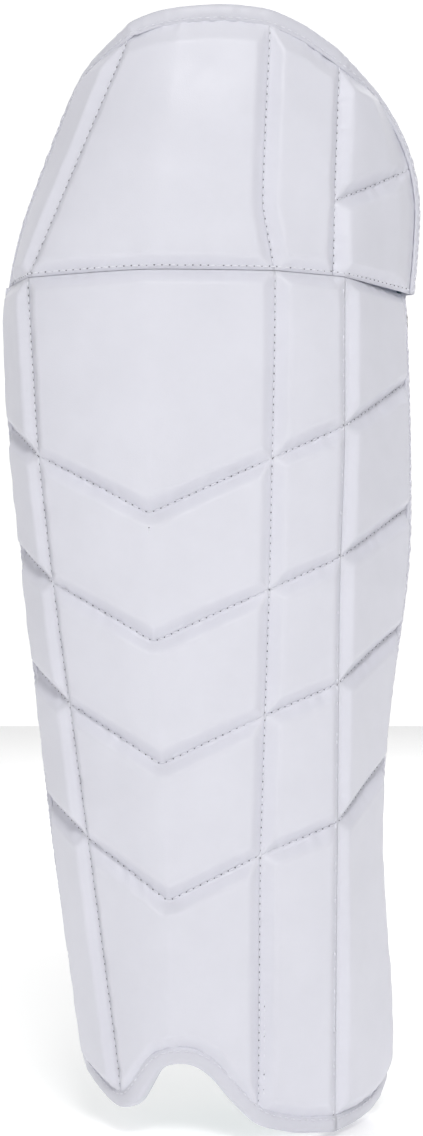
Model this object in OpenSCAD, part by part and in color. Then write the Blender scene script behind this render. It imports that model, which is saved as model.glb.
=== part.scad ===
// Wicketkeeper's leg pad: a stitched white shin guard with a flexing side wing, a hinged knee hood
// and three elastic calf straps.
//
// Frame, in millimetres: +Z runs up the shin, -Y is the front face and +X is the wing side. The origin
// is the centre of the leg space, level with the lowest edge of the pad.
//
// The face is one seam surface. Six lines run up it, numbered by u: 0 left rear edge, 1 left seam,
// 2 shin ridge, 3 middle seam, 4 wing seam, 5 right rear edge. Each layer is a slab between two
// distances from that surface, positive outwards.

/* [Face] */
// How high a padded cell stands above its seams
cell_rise = 7; // [4:0.5:9]
// Width of the sloping side of a cell
cell_slope = 6; // [4:0.5:8]
// Thickness of the coated face fabric
cover_t = 1.2; // [0.8:0.1:1.6]
// Gap between two cells at a seam
seam_gap = 1.2; // [0.8:0.1:2]
// Clear gap between the hood and the shin guard at the knee seam
knee_gap = 2.4; // [2:0.2:4]

/* [Layers] */
// Thickness of the dense foam board behind the cells
board_t = 5.5; // [4:0.5:6]
// Thickness of the lining
lining_t = 1.4; // [1:0.1:2]
// Thickness of the leg bolsters
bolster_t = 15; // [10:1:18]
// Thickness of the edge binding tape
tape_t = 1.1; // [0.8:0.1:1.5]
// Width of the binding tape on the face along the hood and bottom edges
tape_w = 8; // [5:1:9]
// Width of the binding tape on the face along the rear edges
side_tape_w = 4; // [3:0.5:6]

/* [Straps] */
// Width of each calf strap
strap_w = 38; // [28:1:42]
// Thickness of the elastic webbing
strap_t = 2.4; // [1.5:0.1:3]

/* [Hidden] */
COLUMNS = ["left", "main", "centre", "wing"];
STRAPS = ["upper", "middle", "lower"];

WHITE = [0.87, 0.87, 0.90];
FOAM = [0.93, 0.91, 0.80];
BOARD = [0.25, 0.45, 0.75];
TEAL = [0.05, 0.35, 0.38];
BLACK = [0.06, 0.06, 0.07];

LEG_Y = 85;           // distance from the front of the ridge to the centre of the leg
CLEAR = 0.4;          // gap between two layers
BOARD_GAP = 1;        // gap between the seam surface and the board behind it
LEAN = [-68, -46, 0, 16, 40, 56];         // how far the surface faces round to the side at each line
COLUMN_EDGE = [0, 1, 3, 4, 5];            // lines that bound the four columns
LINE_STEP = [40, 70, 70, 42, 66];         // distance round the leg from each line to the next
// Where every layer has its upright mesh lines, so that all layers bend alike
MESH_U = [0, 0.3, 0.5, 1, 1.25, 1.5, 1.8, 2, 2.2, 2.33, 2.5, 2.66, 2.83, 3, 3.5, 4, 4.5, 4.8, 5];

// Distance of each line from the centre plane, up the shin guard: [height, x]
SHIN_X = [
    [[0, -69], [160, -91], [310, -107], [410, -117], [450, -119], [484, -117]],
    [[27, -51], [173, -70], [313, -89], [383, -97], [484, -103]],
    [[0, -22], [136, -24], [300, -33], [360, -35], [484, -35]],
    [[0, 26], [160, 27], [310, 32], [450, 35], [484, 35]],
    [[0, 70], [160, 71], [310, 72], [390, 75], [484, 75]],
    [
        [0, 104], [38, 106], [70, 105.5], [100, 103.5], [125, 101], [148, 99.5], [180, 100], [218, 102.5],
        [260, 107.5], [300, 113.5], [320, 115.8], [344, 117], [400, 116.5], [450, 115], [484, 113]
    ]
];
// Depth of each line behind the front, and how the shin guard curves back towards the ankle
SHIN_DEPTH = [66, 28, 7, 13, 32, 90];
SHIN_BOW = [[0, 14], [160, 6], [310, 2], [484, 0]];
// The same for the hood, whose side lines close in to the arch of its top
HOOD_X = [
    [[480, -116], [494, -114], [519, -108], [540, -100], [582, -83], [605, -71], [616, -60], [623, -50]],
    [[482, -103], [617, -45]],
    [[484, -35], [632, -15]],
    [[484, 35], [522, 28], [570, 30], [632, 33]],
    [[484, 75], [530, 69], [612, 72]],
    [[479, 118], [496, 120], [512, 121], [531, 122], [552, 119], [570, 112], [588, 100], [605, 84], [612, 77]]
];
HOOD_DEPTH = [
    [[480, 66], [519, 65], [540, 62], [582, 54], [605, 43], [616, 33], [623, 24]],
    [[482, 28], [617, 20]],
    [[484, 7], [570, 9], [632, 15]],
    [[484, 13], [570, 14], [632, 20]],
    [[484, 32], [570, 32], [612, 36]],
    [[479, 90], [512, 88], [531, 86], [552, 82], [570, 74], [588, 63], [605, 48], [612, 39]]
];

// Heights of the cross seams at each u, from the bottom edge up
BOTTOM = [
    [0, 30], [0.12, 26], [0.3, 22], [0.5, 18.5], [0.75, 15.5], [1, 14.5], [1.25, 17.5], [1.5, 28.5],
    [1.8, 42], [2, 45], [2.25, 45], [2.5, 36], [2.66, 25], [3, 8], [3.5, 1.5], [4, 0], [4.4, 0],
    [4.7, 3], [4.85, 8], [4.95, 15], [5, 30]
];
CHEVRON_Z = [135, 211, 279, 350];         // ridge height of each chevron seam, lowest first
KNEE = [[0, 482], [1, 483], [2, 485], [3, 485], [4, 484], [5, 481]];
HOOD_SPLIT = [[4, 527], [5, 555]];
TOP = [
    [0, 601], [0.15, 611], [0.4, 618], [1, 624], [1.5, 629], [2, 631], [2.5, 633], [3, 631], [3.5, 624],
    [4, 612], [4.6, 607], [4.85, 603], [5, 594]
];
function chevron(k) = let (z = CHEVRON_Z[k])
    [[0, z + 53], [1, z + 33], [2, z], [3, z + 25 + 2 * k], [4, z + 41 + 3 * k], [5, z + 73 + 2.5 * k]];
ROWS = [BOTTOM, chevron(0), chevron(1), chevron(2), chevron(3), KNEE, HOOD_SPLIT, TOP];
BOTTOM_ROW = 0;
KNEE_ROW = 5;
SPLIT_ROW = 6;
TOP_ROW = 7;

// ---- The seam surface ----

function line_at(k, z, hood) = hood
    ? [lookup(z, HOOD_X[k]), lookup(z, HOOD_DEPTH[k])]
    : [lookup(z, SHIN_X[k]), SHIN_DEPTH[k] + lookup(z, SHIN_BOW)];

// The main panel rounds over the shin ridge, and the other columns are straight across
function across(k, t) = k == 1 ? 1 - pow(1 - t, 1.4) : k == 2 ? pow(t, 1.4) : t;

function skin_point(u, z, off, hood) =
    let (
        k = max(0, min(4, floor(u))),
        t = u - k,
        a = line_at(k, z, hood),
        b = line_at(k + 1, z, hood),
        lean = LEAN[k] + (LEAN[k + 1] - LEAN[k]) * t,
        x = a[0] + (b[0] - a[0]) * t,
        y = a[1] + (b[1] - a[1]) * across(k, t)
    )
    [x + off * sin(lean), y - LEG_Y - off * cos(lean), z];

// ---- Solids from grids of points ----

// A closed slab between two grids of points of the same size
module slab(front, back) {
    rows = len(front);
    cols = len(front[0]);
    n = rows * cols;
    rim = concat(
        [for (c = [0 : cols - 2]) c],
        [for (r = [0 : rows - 2]) r * cols + cols - 1],
        [for (c = [cols - 1 : -1 : 1]) (rows - 1) * cols + c],
        [for (r = [rows - 1 : -1 : 1]) r * cols]
    );
    polyhedron(
        points = concat([for (r = front) for (p = r) p], [for (r = back) for (p = r) p]),
        faces = concat(
            [for (r = [0 : rows - 2]) for (c = [0 : cols - 2]) for (h = [0, 1])
                let (a = r * cols + c, b = a + 1, d = a + cols, e = d + 1)
                h == 0 ? [a, e, b] : [a, d, e]],
            [for (r = [0 : rows - 2]) for (c = [0 : cols - 2]) for (h = [0, 1])
                let (a = n + r * cols + c, b = a + 1, d = a + cols, e = d + 1)
                h == 0 ? [a, b, e] : [a, e, d]],
            [for (i = [0 : len(rim) - 1]) for (h = [0, 1])
                let (a = rim[i], b = rim[(i + 1) % len(rim)])
                h == 0 ? [a, b, b + n] : [a, b + n, a + n]]
        ),
        convexity = 6
    );
}

// A solid swept through a list of equal closed rings
module sweep(rings) {
    m = len(rings[0]);
    last = (len(rings) - 1) * m;
    polyhedron(
        points = [for (r = rings) for (p = r) p],
        faces = concat(
            [for (i = [0 : len(rings) - 2]) for (j = [0 : m - 1]) for (h = [0, 1])
                let (a = i * m + j, b = i * m + (j + 1) % m)
                h == 0 ? [a, b, b + m] : [a, b + m, a + m]],
            [[for (j = [m - 1 : -1 : 0]) j]],
            [[for (j = [0 : m - 1]) last + j]]
        ),
        convexity = 6
    );
}

// ---- Layers over one patch of the surface ----

// A patch is [u from, u to, low row, high row, hood], and its margins are [left, right, low, high] in mm
function from_u(patch, margins) = patch[0] + margins[0] / LINE_STEP[patch[0]];
function to_u(patch, margins) = patch[1] - margins[1] / LINE_STEP[patch[1] - 1];

// How much narrower a side column is at this height than its step, which the hood's arch makes it
function squeeze(k, z) = LINE_STEP[k] / norm(line_at(k + 1, z, true) - line_at(k, z, true));

// Keeps a margin's true width where the hood's side columns narrow. The share is 0 at the rear edge and
// 1 at the seam
function spread(share, ratio) = share * ratio / (1 + (ratio - 1) * share);
function hood_u(u, z) = u < 1 ? spread(u, squeeze(0, z)) : u > 4 ? 5 - spread(5 - u, squeeze(4, z)) : u;

function patch_point(patch, margins, u, t, off) =
    let (
        low = lookup(u, ROWS[patch[2]]) + margins[2],
        high = lookup(u, ROWS[patch[3]]) - margins[3],
        z = low + (high - low) * t
    )
    skin_point(patch[4] ? hood_u(u, z) : u, z, off, patch[4]);

// The upright lines between two values of u
function u_lines(from, to) = concat([from], [for (u = MESH_U) if (u > from + 0.02 && u < to - 0.02) u], [to]);

// The upright lines of a cell: its two edges, its two shoulders and the lines between them
function cell_lines(patch, margins, slope) =
    let (
        from = from_u(patch, margins),
        to = to_u(patch, margins),
        left = slope / LINE_STEP[patch[0]],
        right = slope / LINE_STEP[patch[1] - 1]
    )
    concat([from], u_lines(from + left, to - right), [to]);

function steps(n) = [for (i = [0 : n]) i / n];

// Fractions of a cell's height: the two edges, the two shoulders and the parts between them
function shoulders(height, slope, n) = let (e = slope / height)
    concat([0], [for (i = [0 : n]) e + (1 - 2 * e) * i / n], [1]);

function patch_height(patch) = let (u = (patch[0] + patch[1]) / 2)
    lookup(u, ROWS[patch[3]]) - lookup(u, ROWS[patch[2]]);
// A tall cell and every cell of the curved hood has more rows
function patch_parts(patch) = patch[4] || patch[2] == BOTTOM_ROW ? 4 : 2;

// Cell margins: half a seam on inner edges, the tape's width on the pad's own edges
function cell_margins(patch) = [
    patch[0] == 0 ? side_tape_w + 2 : seam_gap / 2,
    patch[1] == 5 ? side_tape_w + 2 : seam_gap / 2,
    patch[2] == BOTTOM_ROW ? tape_w + 0.5 : patch[2] == KNEE_ROW ? knee_gap / 2 : seam_gap / 2,
    patch[3] == TOP_ROW ? tape_w + 0.5 : patch[3] == KNEE_ROW ? knee_gap / 2 : seam_gap / 2
];

function on_edge(list, i) = i == 0 || i == len(list) - 1;

module cover(patch) {
    m = cell_margins(patch);
    us = cell_lines(patch, m, cell_slope);
    ts = shoulders(patch_height(patch), cell_slope, patch_parts(patch));
    function rise(i, j) = on_edge(us, i) || on_edge(ts, j) ? 0 : cell_rise - cover_t;
    color(WHITE) slab(
        [for (j = [0 : len(ts) - 1]) [for (i = [0 : len(us) - 1])
            patch_point(patch, m, us[i], ts[j], rise(i, j) + cover_t)]],
        [for (j = [0 : len(ts) - 1]) [for (i = [0 : len(us) - 1])
            patch_point(patch, m, us[i], ts[j], rise(i, j))]]
    );
}

// The soft block that fills the space under one cover, and lies on the board
module foam_block(patch) {
    inset = cell_slope / 2;
    m = cell_margins(patch) + [inset, inset, inset, inset];
    us = cell_lines(patch, m, inset);
    ts = shoulders(patch_height(patch) - 2 * inset, inset, patch_parts(patch));
    top = cell_rise - cover_t - 2 * CLEAR;
    function rise(i, j) = on_edge(us, i) || on_edge(ts, j) ? top / 3 : top;
    color(FOAM) slab(
        [for (j = [0 : len(ts) - 1]) [for (i = [0 : len(us) - 1])
            patch_point(patch, m, us[i], ts[j], rise(i, j))]],
        [for (j = [0 : len(ts) - 1]) [for (i = [0 : len(us) - 1])
            patch_point(patch, m, us[i], ts[j], CLEAR)]]
    );
}

// An even layer between two offsets
module layer(patch, margins, outer, inner, up_n) {
    us = u_lines(from_u(patch, margins), to_u(patch, margins));
    slab(
        [for (t = steps(up_n)) [for (u = us) patch_point(patch, margins, u, t, outer)]],
        [for (t = steps(up_n)) [for (u = us) patch_point(patch, margins, u, t, inner)]]
    );
}

// A cushion on the lining: full in the middle, thin at its edges
module cushion(patch, margins, thick, across_n, up_n) {
    base = LINING_IN - CUSHION_GAP;
    from = from_u(patch, margins);
    width = to_u(patch, margins) - from;
    function swell(s, t) = 3 + (thick - 3) * pow(max(0, sin(180 * s)), 0.5) * pow(max(0, sin(180 * t)), 0.3);
    slab(
        [for (t = steps(up_n)) [for (s = steps(across_n))
            patch_point(patch, margins, from + width * s, t, base)]],
        [for (t = steps(up_n)) [for (s = steps(across_n))
            patch_point(patch, margins, from + width * s, t, base - swell(s, t))]]
    );
}

// ---- Covers and foam ----

function column_patch(c, r) = [COLUMN_EDGE[c], COLUMN_EDGE[c + 1], KNEE_ROW - r, KNEE_ROW - r + 1, false];
HOOD_PATCHES = [
    [0, 1, KNEE_ROW, TOP_ROW, true],
    [1, 3, KNEE_ROW, TOP_ROW, true],
    [3, 4, KNEE_ROW, TOP_ROW, true],
    [4, 5, KNEE_ROW, SPLIT_ROW, true],
    [4, 5, SPLIT_ROW, TOP_ROW, true]
];

module hood_cover(i) cover(HOOD_PATCHES[i]);
module shin_cover(c, r) cover(column_patch(c, r));
module hood_foam() for (p = HOOD_PATCHES) foam_block(p);
module column_foam(c) for (r = [1 : 5]) foam_block(column_patch(c, r));

// ---- Boards and linings ----

BOARD_OUT = -BOARD_GAP;
BOARD_IN = BOARD_OUT - board_t;
LINING_OUT = BOARD_IN - CLEAR;
LINING_IN = LINING_OUT - lining_t;
CUSHION_GAP = 1;  // gap between the lining and a cushion
EDGE = 2.2;       // a board stops this far inside the bound edge
LINING_EDGE = 3;  // a lining stops this far inside it
FOLD = 0.5;       // half the gap between two boards at a fold
SHIN_PARTS = 12;  // rows of mesh up a board or lining of the shin guard
HOOD_PARTS = 8;   // the same up the hood

module board(u0, u1, low, high, hood, margins, up_n) {
    color(BOARD) layer([u0, u1, low, high, hood], margins, BOARD_OUT, BOARD_IN, up_n);
}

module column_board(c) {
    left = c == 0 ? EDGE : FOLD;
    right = c == 3 ? EDGE : FOLD;
    margins = [left, right, EDGE, knee_gap / 2];
    board(COLUMN_EDGE[c], COLUMN_EDGE[c + 1], BOTTOM_ROW, KNEE_ROW, false, margins, SHIN_PARTS);
}

module hood_board() for (c = [0 : 3]) {
    left = c == 0 ? EDGE : FOLD;
    right = c == 3 ? EDGE : FOLD;
    margins = [left, right, knee_gap / 2, EDGE];
    board(COLUMN_EDGE[c], COLUMN_EDGE[c + 1], KNEE_ROW, TOP_ROW, true, margins, HOOD_PARTS);
}

module lining(u0, u1, low, high, hood, margins, up_n) {
    color(TEAL) layer([u0, u1, low, high, hood], margins, LINING_OUT, LINING_IN, up_n);
}

module hood_lining()
    lining(0, 5, KNEE_ROW, TOP_ROW, true, [LINING_EDGE, LINING_EDGE, knee_gap / 2, LINING_EDGE], HOOD_PARTS);
module shin_lining()
    lining(0, 4, BOTTOM_ROW, KNEE_ROW, false, [LINING_EDGE, FOLD, LINING_EDGE, knee_gap / 2], SHIN_PARTS);
module wing_lining()
    lining(4, 5, BOTTOM_ROW, KNEE_ROW, false, [FOLD, LINING_EDGE, LINING_EDGE, knee_gap / 2], SHIN_PARTS);

// ---- Bolsters on the leg side ----

module knee_cushion()
    color(WHITE) cushion([1, 3, KNEE_ROW, TOP_ROW, true], [34, 22, 10, 26], bolster_t, 8, 6);
module knee_bolster_left()
    color(WHITE) cushion([0, 1, KNEE_ROW, TOP_ROW, true], [10, 3, 10, 40], bolster_t, 6, 8);
module knee_bolster_right()
    color(WHITE) cushion([4, 5, KNEE_ROW, TOP_ROW, true], [4, 14, 10, 50], bolster_t, 6, 8);
module shin_bolster_left()
    color(WHITE) cushion([1, 2, BOTTOM_ROW, KNEE_ROW, false], [8, 14, 72, 36], bolster_t, 6, 12);
module shin_bolster_right()
    color(WHITE) cushion([2, 3, BOTTOM_ROW, KNEE_ROW, false], [30, 0, 72, 36], bolster_t, 6, 12);
module instep_pad()
    color(WHITE) cushion([1, 3, BOTTOM_ROW, BOTTOM_ROW + 1, false], [40, 30, 9, 52], 8, 8, 4);

// ---- Edge binding ----

BACK_LIP = LINING_IN - 2 * CLEAR;         // how far in the tape's back lip lies

// The tape folds round the board and lining: a U section, its open side towards the pad
function tape_section(width) = [
    [-width, CLEAR + tape_t], [0.2 + tape_t, CLEAR + tape_t],
    [0.2 + tape_t, BACK_LIP - tape_t], [-width, BACK_LIP - tape_t],
    [-width, BACK_LIP], [0.2, BACK_LIP], [0.2, CLEAR], [-width, CLEAR]
];

function unit(v) = v / norm(v);

// One ring of the tape at a point of the edge, given the points before and after it
function tape_ring(u, here, before, after, section) =
    let (
        k = max(0, min(4, floor(u))),
        lean = LEAN[k] + (LEAN[k + 1] - LEAN[k]) * (u - k),
        face = [sin(lean), -cos(lean), 0],
        outward = unit(cross(after - before, face))
    )
    [for (p = section) here + outward * p[0] + face * p[1]];

module tape(path, hood, width) {
    pts = [for (p = path) skin_point(p[0], p[1], 0, hood)];
    last = len(pts) - 1;
    color(WHITE) sweep([for (i = [0 : last])
        tape_ring(path[i][0], pts[i], pts[max(0, i - 1)], pts[min(last, i + 1)], tape_section(width))]);
}

function row_path(row, us) = [for (u = us) [u, lookup(u, ROWS[row])]];
function side_path(u, z0, z1, n) = [for (i = [0 : n]) [u, z0 + (z1 - z0) * i / n]];
function span(from, to, n) = [for (i = [0 : n]) from + (to - from) * i / n];

module hood_binding() tape(
    concat(
        side_path(5, lookup(5, KNEE) + knee_gap / 2, 589, 9),
        row_path(TOP_ROW, concat([5, 4.93], span(4.85, 0.4, 18), [0.27, 0.15, 0.07, 0])),
        side_path(0, 592, lookup(0, KNEE) + knee_gap / 2, 9)
    ),
    true, side_tape_w
);
module shin_binding() tape(
    concat(
        side_path(0, lookup(0, KNEE) - knee_gap / 2, 52, 12),
        row_path(BOTTOM_ROW, concat([0, 0.05, 0.12, 0.2, 0.3], span(0.45, 3.98, 21)))
    ),
    false, side_tape_w
);
module wing_binding() tape(
    concat(
        row_path(BOTTOM_ROW, concat(span(4.02, 4.7, 6), [4.8, 4.88, 4.95, 5])),
        side_path(5, 42, lookup(5, KNEE) - knee_gap / 2, 14)
    ),
    false, side_tape_w
);

// The web that the hood hangs from, sewn behind the lining just under the knee seam
WEB_HEIGHT = 28;
module knee_web()
    color(BLACK) layer([1, 3, KNEE_ROW, KNEE_ROW, false], [10, 4, -WEB_HEIGHT, knee_gap / 2],
        LINING_IN - 2 * CLEAR, LINING_IN - 2 * CLEAR - 1.2, 2);

// ---- Straps ----

STRAP_Z = [455, 335, 204];                // upper, middle, lower
STRAP_BACK = [84, 82, 66];                // how far each strap's loop reaches back
STRAP_FLARE = [77, 58, 68];               // how far it swells out to the side as it leaves the wing
ANCHOR_GAP = 1;                           // gap between the binding and a strap's sewn end
ANCHOR_OFF = BACK_LIP - tape_t - ANCHOR_GAP - strap_t / 2;
LANDING_OFF = LINING_IN - 2 * CLEAR;
LANDING_T = 1.2;
HOOK_T = 1;
HOOK_GAP = 1.5;                           // the upright strap clears the leaning shell by this much
HOOK_OFF = LANDING_OFF - LANDING_T - HOOK_GAP - HOOK_T / 2;
BAND_OFF = HOOK_OFF - HOOK_T / 2 - 0.1 - strap_t / 2;
ROOT_U = -0.14;
ROOT_SHARE = 0.3;                         // the part of the loop that the root piece takes

function flat(p) = [p[0], p[1]];
function bezier(p, t) =
    pow(1 - t, 3) * p[0] + 3 * t * pow(1 - t, 2) * p[1] + 3 * t * t * (1 - t) * p[2] + pow(t, 3) * p[3];

// The loop of a strap seen from above, from its root behind the left edge to the edge of the wing
function loop_handles(i) =
    let (
        z = STRAP_Z[i],
        root = flat(skin_point(ROOT_U, z, ANCHOR_OFF, false)),
        land = flat(skin_point(5.02, z, BAND_OFF, false)),
        back = STRAP_BACK[i]
    )
    [root, root + [-6, back * 1.1], land + [STRAP_FLARE[i], back * 0.95], land];

function loop_part(i, t0, t1, n) = [for (j = [0 : n]) bezier(loop_handles(i), t0 + (t1 - t0) * j / n)];

// A flat band through points seen from above
module band(points, z, width, thick) {
    last = len(points) - 1;
    color(BLACK) sweep([for (i = [0 : last])
        let (
            run = unit(points[min(last, i + 1)] - points[max(0, i - 1)]),
            side = [run[1], -run[0]] * thick / 2
        )
        [
            [points[i][0] + side[0], points[i][1] + side[1], z - width / 2],
            [points[i][0] - side[0], points[i][1] - side[1], z - width / 2],
            [points[i][0] - side[0], points[i][1] - side[1], z + width / 2],
            [points[i][0] + side[0], points[i][1] + side[1], z + width / 2]
        ]
    ]);
}

// A flat plate on the inside of the shell
module inner_plate(u0, u1, z, width, outer, thick) {
    us = span(u0, u1, 3);
    zs = span(z - width / 2, z + width / 2, 2);
    color(BLACK) slab(
        [for (zz = zs) [for (u = us) skin_point(u, zz, outer, false)]],
        [for (zz = zs) [for (u = us) skin_point(u, zz, outer - thick, false)]]
    );
}

module strap_anchors() for (z = STRAP_Z)
    inner_plate(ROOT_U + 0.12, 0.55, z, strap_w, ANCHOR_OFF + strap_t / 2, strap_t);
module strap_landing_patches() for (z = STRAP_Z)
    inner_plate(4.3, 4.86, z, strap_w + 4, LANDING_OFF, LANDING_T);
module strap_root(i) band(loop_part(i, 0, ROOT_SHARE - 0.004, 6), STRAP_Z[i], strap_w, strap_t);
module strap_band(i) band(
    concat(
        loop_part(i, ROOT_SHARE + 0.004, 1, 14),
        [for (u = [4.8, 4.6, 4.4, 4.25]) flat(skin_point(u, STRAP_Z[i], BAND_OFF, false))]
    ),
    STRAP_Z[i], strap_w, strap_t
);
module strap_hook_patch(i) band(
    [for (u = [4.8, 4.6, 4.4]) flat(skin_point(u, STRAP_Z[i], HOOK_OFF, false))],
    STRAP_Z[i], strap_w - 2, HOOK_T
);

// ---- Nodes ----

for (i = [0 : 4]) hood_cover(i);
for (c = [0 : 3]) for (r = [1 : 5])
    shin_cover(c, r);
hood_foam();
column_foam(0);  // shin_foam_left
column_foam(1);  // shin_foam_main
column_foam(2);  // shin_foam_centre
column_foam(3);  // wing_foam
hood_board();
column_board(0);  // shin_board_left
column_board(1);  // shin_board_main
column_board(2);  // shin_board_centre
column_board(3);  // wing_board
hood_lining();
shin_lining();
wing_lining();
knee_cushion();
knee_bolster_left();
knee_bolster_right();
shin_bolster_left();
shin_bolster_right();
instep_pad();
hood_binding();
shin_binding();
wing_binding();
knee_web();
strap_anchors();
strap_landing_patches();
for (i = [0 : 2]) strap_root(i);
for (i = [0 : 2]) strap_band(i);
for (i = [0 : 2]) strap_hook_patch(i);
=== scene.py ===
"""Looks of the wicketkeeper's leg pad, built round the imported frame.

Lengths are in millimetres until a mesh is made. The face of the pad is one seam surface, the same as in the
CAD source: six lines run up it, numbered by u (0 left rear edge, 1 left seam, 2 shin ridge, 3 middle seam,
4 wing seam, 5 right rear edge), z is the height, and off is the distance outwards from the surface.
"""
import math

import bpy
import numpy as np
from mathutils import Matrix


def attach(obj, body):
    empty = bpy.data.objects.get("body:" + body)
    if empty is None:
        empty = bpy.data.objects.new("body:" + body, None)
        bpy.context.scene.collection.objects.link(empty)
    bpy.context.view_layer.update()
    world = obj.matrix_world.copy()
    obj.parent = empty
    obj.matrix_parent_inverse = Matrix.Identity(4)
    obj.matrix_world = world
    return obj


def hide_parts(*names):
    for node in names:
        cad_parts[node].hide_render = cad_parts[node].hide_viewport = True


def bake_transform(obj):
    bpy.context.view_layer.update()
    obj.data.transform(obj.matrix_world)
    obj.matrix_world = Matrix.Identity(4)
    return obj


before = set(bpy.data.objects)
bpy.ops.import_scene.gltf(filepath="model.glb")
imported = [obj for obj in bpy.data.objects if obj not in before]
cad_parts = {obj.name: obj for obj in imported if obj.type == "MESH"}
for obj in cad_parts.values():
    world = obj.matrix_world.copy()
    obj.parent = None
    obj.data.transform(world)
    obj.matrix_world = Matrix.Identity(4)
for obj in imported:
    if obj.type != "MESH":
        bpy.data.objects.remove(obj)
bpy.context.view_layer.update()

MM = 0.001
GRID = 1.5          # mesh spacing on the face
LEG_Y = 85.0                          # from the front of the ridge to the centre of the leg
RISE = 7.0                            # how high a cell stands above its seams
SLOPE = 6.6                           # width of a cell's sloping side
FLOOR = 0.9                           # width of the flat strip beside a seam
CROWN = 0.8                           # extra height in the middle of a cell
COVER_T = 1.2                         # thickness of the coated fabric cover
TAPE = 8.5                            # width of the binding on the face, hood top and bottom edge
SIDE_TAPE = 4.5                       # width of the binding on the face, rear edges
PITCH = 4.3                           # stitch spacing
BOARD_OUT = -1.2                      # offsets of the inner layers' two faces from the seam surface
BOARD_IN = -6.4
LINING_OUT = -6.8
LINING_IN = -8.2
KNEE_SPLIT = 0.15                     # half the gap between the hood and the shin guard

# ------------------------------------------------------------------ the seam surface

LEAN = np.array([-68.0, -46.0, 0.0, 16.0, 40.0, 56.0])
SHIN_X = [
    [(0, -69), (160, -91), (310, -107), (410, -117), (450, -119), (484, -117)],
    [(27, -51), (173, -70), (313, -89), (383, -97), (484, -103)],
    [(0, -22), (136, -24), (300, -33), (360, -35), (484, -35)],
    [(0, 26), (160, 27), (310, 32), (450, 35), (484, 35)],
    [(0, 70), (160, 71), (310, 72), (390, 75), (484, 75)],
    [(0, 104), (38, 106), (70, 105.5), (100, 103.5), (125, 101), (148, 99.5), (180, 100), (218, 102.5),
     (260, 107.5), (300, 113.5), (320, 115.8), (344, 117), (400, 116.5), (450, 115), (484, 113)],
]
SHIN_DEPTH = [66, 28, 7, 13, 32, 90]
SHIN_BOW = [(0, 14), (160, 6), (310, 2), (484, 0)]
HOOD_X = [
    [(480, -116), (494, -114), (519, -108), (540, -100), (582, -83), (605, -71), (616, -60), (623, -50)],
    [(482, -103), (617, -45)],
    [(484, -35), (632, -15)],
    [(484, 35), (522, 28), (570, 30), (632, 33)],
    [(484, 75), (530, 69), (612, 72)],
    [(479, 118), (496, 120), (512, 121), (531, 122), (552, 119), (570, 112), (588, 100), (605, 84),
     (612, 77)],
]
HOOD_DEPTH = [
    [(480, 66), (519, 65), (540, 62), (582, 54), (605, 43), (616, 33), (623, 24)],
    [(482, 28), (617, 20)],
    [(484, 7), (570, 9), (632, 15)],
    [(484, 13), (570, 14), (632, 20)],
    [(484, 32), (570, 32), (612, 36)],
    [(479, 90), (512, 88), (531, 86), (552, 82), (570, 74), (588, 63), (605, 48), (612, 39)],
]
BOTTOM = [(0, 30), (0.12, 26), (0.3, 22), (0.5, 18.5), (0.75, 15.5), (1, 14.5), (1.25, 17.5), (1.5, 28.5),
          (1.8, 42), (2, 45), (2.25, 45), (2.5, 36), (2.66, 25), (3, 8), (3.5, 1.5), (4, 0), (4.4, 0),
          (4.7, 3), (4.85, 8), (4.95, 15), (5, 30)]
CHEVRON_Z = [135, 211, 279, 350]      # ridge height of each chevron seam, lowest first
KNEE = [(0, 482), (1, 483), (2, 485), (3, 485), (4, 484), (5, 481)]
HOOD_SPLIT = [(4, 527), (5, 555)]
TOP = [(0, 601), (0.15, 611), (0.4, 618), (1, 624), (1.5, 629), (2, 631), (2.5, 633), (3, 631), (3.5, 624),
       (4, 612), (4.6, 607), (4.85, 603), (5, 594)]


def chevron(k):
    z = CHEVRON_Z[k]
    left = [(0, z + 53), (1, z + 33), (2, z)]
    return left + [(3, z + 25 + 2 * k), (4, z + 41 + 3 * k), (5, z + 73 + 2.5 * k)]


Z_LOW = -60
Z_HIGH = 701.0
Z_FINE = np.arange(Z_LOW, Z_HIGH)


def fair(rows, grid, sigma):
    """A table of points as a fine list of values with its corners rounded off."""
    xs = np.array([r[0] for r in rows], float)
    ys = np.array([r[1] for r in rows], float)
    step = grid[1] - grid[0]
    pad = int(4 * sigma / step) + 1
    wide = grid[0] + step * np.arange(-pad, len(grid) + pad)
    raw = np.interp(wide, xs, ys)
    kernel = np.exp(-0.5 * (step * np.arange(-pad, pad + 1) / sigma) ** 2)
    return np.convolve(raw, kernel / kernel.sum(), "same")[pad:-pad]


def line_tables(x_rows, y_rows, sigma):
    return tuple(np.array([fair(r, Z_FINE, sigma) for r in rows]) for rows in (x_rows, y_rows))


SHIN_Y = [[(z, d + b) for z, b in SHIN_BOW] for d in SHIN_DEPTH]
LINES = {False: line_tables(SHIN_X, SHIN_Y, 12.0), True: line_tables(HOOD_X, HOOD_DEPTH, 5.0)}
U_FINE = np.arange(-0.5, 5.5001, 0.01)


class Row:
    """A seam line across the pad: its height at each u."""

    def __init__(self, rows, sigma):
        xs = [r[0] for r in rows]
        ys = [r[1] for r in rows]
        first = ys[0] - (ys[1] - ys[0]) / (xs[1] - xs[0]) * 0.5
        last = ys[-1] + (ys[-1] - ys[-2]) / (xs[-1] - xs[-2]) * 0.5
        ends = [(xs[0] - 0.5, first)] + list(rows) + [(xs[-1] + 0.5, last)]
        self.fine = fair(ends, U_FINE, sigma)

    def __call__(self, u):
        return np.interp(u, U_FINE, self.fine)


BOTTOM_ROW = Row(BOTTOM, 0.05)
CHEVRONS = [Row(chevron(k), 0.035) for k in range(4)]
KNEE_ROW = Row(KNEE, 0.15)
SPLIT_ROW = Row(HOOD_SPLIT, 0.05)
TOP_ROW = Row(TOP, 0.05)
SHIN_ROWS = [BOTTOM_ROW] + CHEVRONS + [KNEE_ROW]


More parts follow.
